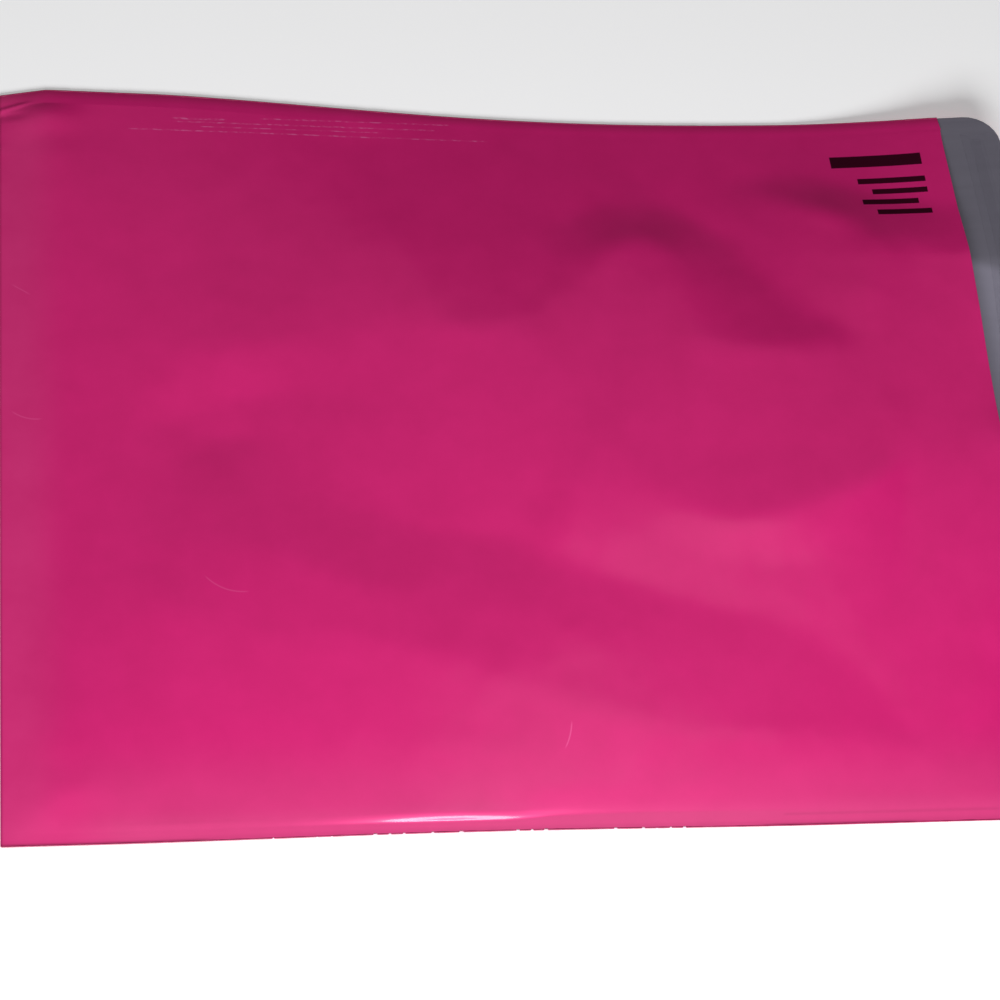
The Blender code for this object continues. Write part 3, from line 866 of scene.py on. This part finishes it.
film = run_tree(film, puff_tree(), {
    "Puff": PUFF, "Bent Corner": CORNER_BEND, "Weld Ridge": 0.0014, "Weld Tilt": 0.00044, "Pleat": 0.0004,
    "Crinkle": 0.0003, "Crinkle Scale": 60.0, "Seed": 3})
film.data.materials.append(grey)
wall = film.modifiers.new("Wall", "SOLIDIFY")
wall.thickness = FILM
wall.offset = 0.0
wall.material_offset = 1
settle_in(film, "mailer_film")
print("film:", len(film.data.polygons), "faces a side")

# %% [markdown]
# ## The cut and sealed sides
# A hot knife welds the two panels together and cuts the bag free in one stroke. It leaves a thin rounded bead
# of melted film along each side, darker than the panels, partly as painted shade under the cut edge, with
# small pale specks where its teeth tore the film. A bevel on the sheet's edge would be too even. So one tree
# sweeps a small wavering profile along the edge, and sets the specks along the same path at the pitch of the
# teeth.

# %% Melted film
def melted_film(name, deep, clear):
    material, tree, shader = new_material(name, IOR=1.50, Coat_Weight=0.3, Coat_Roughness=0.2)
    place = wire(tree, "ShaderNodeTexCoord").outputs["Object"]
    noise = wire(tree, "ShaderNodeTexNoise", {"Vector": place, "Scale": 350.0, "Detail": 2.0})
    tree.links.new(mix(tree, noise.outputs["Fac"], deep, clear), shader.inputs["Base Color"])
    tree.links.new(to_range(tree, noise.outputs["Fac"], 0.30, 0.55), shader.inputs["Roughness"])
    dent(tree, shader, noise.outputs["Fac"], 0.5, 0.0001)
    return material


# The bead's deep colours are partly painted shade under the cut edge.
melted_shaded_pink = melted_film("melted pink film, painted shade", (0.26, 0.008, 0.060, 1.0), (0.50, 0.012, 0.120, 1.0))
torn_pink = melted_film("torn pink film", (0.90, 0.45, 0.60, 1.0), (0.95, 0.60, 0.70, 1.0))
print("melted film:", melted_shaded_pink.name, "and", torn_pink.name)


# %% Bead and specks
def side_tree():
    tree, given, output = new_tree("bead along a cut side", {
        "Bead Radius": 0.0003, "Waver": 0.3, "Teeth Pitch": 0.0043, "Speck Size": 0.0003, "Speck Share": 0.5,
        "Specks From": -0.2, "Specks To": 0.2, "Seed": 0})
    path = wire(tree, "GeometryNodeMeshToCurve", {"Mesh": given["Geometry"]})
    fine = wire(tree, "GeometryNodeResampleCurve", {"Curve": path.outputs[0], "Length": 0.0015},
                mode="LENGTH")
    noise = wire(tree, "ShaderNodeTexNoise", {"W": given["Seed"], "Scale": 400.0, "Detail": 1.0},
                 noise_dimensions="4D")
    waver = times(tree, maths(tree, "SUBTRACT", noise.outputs["Fac"], 0.5), given["Waver"])
    size = times(tree, maths(tree, "ADD", 1.0, waver), given["Bead Radius"])
    ring = wire(tree, "GeometryNodeCurvePrimitiveCircle", {"Resolution": 8, "Radius": 1.0})
    bead = wire(tree, "GeometryNodeCurveToMesh", {"Curve": fine.outputs[0], "Profile Curve": ring.outputs[0],
                                                  "Scale": size, "Fill Caps": True})
    teeth = wire(tree, "GeometryNodeCurveToPoints", {
        "Curve": path.outputs[0], "Length": given["Teeth Pitch"]}, mode="LENGTH")
    chance = wire(tree, "FunctionNodeRandomValue", {
        "Probability": given["Speck Share"], "Seed": given["Seed"]}, data_type="BOOLEAN")
    position = wire(tree, "GeometryNodeInputPosition").outputs[0]
    along = wire(tree, "ShaderNodeSeparateXYZ", {0: position}).outputs[0]
    torn = times(tree, maths(tree, "GREATER_THAN", along, given["Specks From"]),
                 maths(tree, "LESS_THAN", along, given["Specks To"]), chance.outputs[3])
    spread = wire(tree, "FunctionNodeRandomValue", {2: 0.6, 3: 1.4, "Seed": given["Seed"]}, data_type="FLOAT")
    speck = wire(tree, "GeometryNodeMeshUVSphere", {"Segments": 8, "Rings": 5, "Radius": given["Speck Size"]})
    long = wire(tree, "GeometryNodeTransform", {"Geometry": speck.outputs[0], "Scale": (0.8, 0.7, 1.7)})
    specks = wire(tree, "GeometryNodeInstanceOnPoints", {
        "Points": teeth.outputs["Points"], "Instance": long.outputs[0], "Rotation": teeth.outputs["Rotation"],
        "Selection": torn, "Scale": spread.outputs[1]})
    both = tree.nodes.new("GeometryNodeJoinGeometry")
    tree.links.new(coat(tree, bead.outputs[0], melted_shaded_pink), both.inputs[0])
    tree.links.new(coat(tree, specks.outputs[0], torn_pink), both.inputs[0])
    tree.links.new(both.outputs[0], output[0])
    return tree


def path_mesh(name, points):
    """A bare line of points, for a tree to follow."""
    mesh = bpy.data.meshes.new(name)
    mesh.from_pydata([tuple(p) for p in points], [(i, i + 1) for i in range(len(points) - 1)], [])
    return add_object(name, mesh)


SEAM_START = CLOSED_END + 0.0003
SEAM_LEVEL = 0.0003


def side_path(share):
    x = np.linspace(SEAM_START, MOUTH, 240)
    y = near_edge(x) + share * (far_edge(x) - near_edge(x))
    shares = np.full(x.shape, float(share))
    z = SEAM_LEVEL + CORNER_BEND * curl(x, y)
    return np.stack([x - drawn_back(x, shares, 1.0), y, z], axis=-1)


SIDES = side_tree()
near_side = run_tree(path_mesh("near_cut_side", side_path(0)), SIDES, {
    "Bead Radius": 0.00028, "Waver": 0.5, "Teeth Pitch": 0.0043, "Speck Size": 0.00040, "Speck Share": 0.85,
    "Specks From": -0.104, "Specks To": 0.031, "Seed": 5})
far_side = run_tree(path_mesh("far_cut_side", side_path(1)), SIDES, {
    "Bead Radius": 0.00030, "Waver": 0.5, "Teeth Pitch": 0.0043, "Speck Size": 0.00020, "Speck Share": 0.35,
    "Specks From": -0.100, "Specks To": -0.050, "Seed": 9})
for side in (near_side, far_side):
    side.data.shade_smooth()
    settle_in(side, "mailer_film")
    print(side.name, "faces:", len(side.data.polygons))

# %% [markdown]
# ## Glue and liner
# The flap carries a stripe of clear hot-melt glue under a strip of clear, slightly cloudy film, which is
# peeled off to close the bag. Both are nearly invisible over the grey, and only their edges and a softer
# gloss give them away. The glue is laid by a nozzle, so it is a low bead that wavers a little: a tree sweeps
# a flattened profile along the flap. The liner is a strip that drapes over the bead.

# %% Clear finishes
def clear_finish(name, colour, alpha, low_rough, high_rough):
    material, tree, shader = new_material(name, IOR=1.48, Alpha=alpha)
    place = wire(tree, "ShaderNodeTexCoord").outputs["Object"]
    noise = wire(tree, "ShaderNodeTexNoise", {"Vector": place, "Scale": 160.0, "Detail": 3.0})
    cloudy = tuple(0.85 * value for value in colour[:3]) + (1.0,)
    tree.links.new(mix(tree, noise.outputs["Fac"], cloudy, colour), shader.inputs["Base Color"])
    tree.links.new(to_range(tree, noise.outputs["Fac"], low_rough, high_rough), shader.inputs["Roughness"])
    dent(tree, shader, noise.outputs["Fac"], 0.4, 0.0001)
    return material


glue_finish = clear_finish("clear hot-melt glue", (0.33, 0.31, 0.40, 1.0), 0.05, 0.34, 0.46)
liner_finish = clear_finish("clear liner film", (0.29, 0.275, 0.35, 1.0), 0.05, 0.40, 0.52)
print("clear finishes:", glue_finish.name, "and", liner_finish.name)

# %% Glue bead
GLUE_LOW, GLUE_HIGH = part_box("glue_strip")
GLUE_HEIGHT = 0.00025


def glue_tree():
    tree, given, output = new_tree("bead of glue", {"Half Width": 0.004, "Height": 0.0002, "Waver": 0.0003,
                                                    "Seed": 0})
    path = wire(tree, "GeometryNodeMeshToCurve", {"Mesh": given["Geometry"]})
    fine = wire(tree, "GeometryNodeResampleCurve", {"Curve": path.outputs[0], "Length": 0.0018},
                mode="LENGTH")
    upright = wire(tree, "GeometryNodeSetCurveNormal", {"Curve": fine.outputs[0]}, mode="Z_UP")
    noise = wire(tree, "ShaderNodeTexNoise", {"W": given["Seed"], "Scale": 90.0, "Detail": 2.0},
                 noise_dimensions="4D")
    aside = times(tree, maths(tree, "SUBTRACT", noise.outputs["Fac"], 0.5), given["Waver"])
    offset = wire(tree, "ShaderNodeCombineXYZ", {"X": aside}).outputs[0]
    moved = wire(tree, "GeometryNodeSetPosition", {"Geometry": upright.outputs[0], "Offset": offset})
    ring = wire(tree, "GeometryNodeCurvePrimitiveCircle", {"Resolution": 20, "Radius": 1.0})
    flat = wire(tree, "ShaderNodeCombineXYZ", {"X": given["Half Width"], "Y": given["Height"], "Z": 1.0})
    squashed = wire(tree, "GeometryNodeTransform", {"Geometry": ring.outputs[0], "Scale": flat.outputs[0]})
    bead = wire(tree, "GeometryNodeCurveToMesh", {
        "Curve": moved.outputs[0], "Profile Curve": squashed.outputs[0], "Fill Caps": True})
    tree.links.new(coat(tree, bead.outputs[0], glue_finish), output[0])
    return tree


def glue_path():
    y = np.linspace(GLUE_LOW.y, GLUE_HIGH.y, 120)
    x = np.full(y.shape, (GLUE_LOW.x + GLUE_HIGH.x) / 2)
    share = (y + HALF_WIDTH) / BAG_WIDTH
    return np.stack([x - drawn_back(x, share, 0.0), y,
                     FILM + GLUE_HEIGHT / 2 + CORNER_BEND * curl(x, y)], axis=-1)


glue = run_tree(path_mesh("glue", glue_path()), glue_tree(), {
    "Half Width": (GLUE_HIGH.x - GLUE_LOW.x) / 2, "Height": GLUE_HEIGHT / 2, "Waver": 0.0006, "Seed": 4})
glue.data.shade_smooth()
settle_in(glue, "glue_strip")
glue_corners = np.array([v.co for v in glue.data.vertices])
print("glue, in mm:", (1000 * (glue_corners.max(0) - glue_corners.min(0))).round(1))

# %% Liner
LINER_LOW, LINER_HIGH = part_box("release_liner")
LINER = 0.0001
LINER_DROP = 0.0002          # how far the liner's edges fall beside the glue
LINER_DROP_RUN = 0.0015
LINER_RIPPLE = 0.00004


def make_liner():
    across = np.linspace(LINER_LOW.x, LINER_HIGH.x, 25)
    y = np.linspace(LINER_LOW.y, LINER_HIGH.y, 170)
    x, y = np.meshgrid(across, y)
    middle = (GLUE_LOW.x + GLUE_HIGH.x) / 2
    past_glue = np.abs(x - middle) - (GLUE_HIGH.x - GLUE_LOW.x) / 2
    beyond = np.clip(past_glue / LINER_DROP_RUN, 0.0, 1.0)
    drop = LINER_DROP * beyond ** 2 * (3 - 2 * beyond)
    ripple = LINER_RIPPLE * np.sin(y / 0.0061) * np.sin(x / 0.0023 + y / 0.017)
    share = (y + HALF_WIDTH) / BAG_WIDTH
    z = FILM + GLUE_HEIGHT + LINER - drop + ripple + CORNER_BEND * curl(x, y)
    piece = grid_mesh("liner", np.stack([x - drawn_back(x, share, 0.0), y, z], axis=-1), {})
    piece.data.materials.append(liner_finish)
    skin = piece.modifiers.new("Wall", "SOLIDIFY")
    skin.thickness = LINER
    skin.offset = 0.0
    return piece


liner = make_liner()
settle_in(liner, "release_liner")
print("liner:", len(liner.data.polygons), "faces")
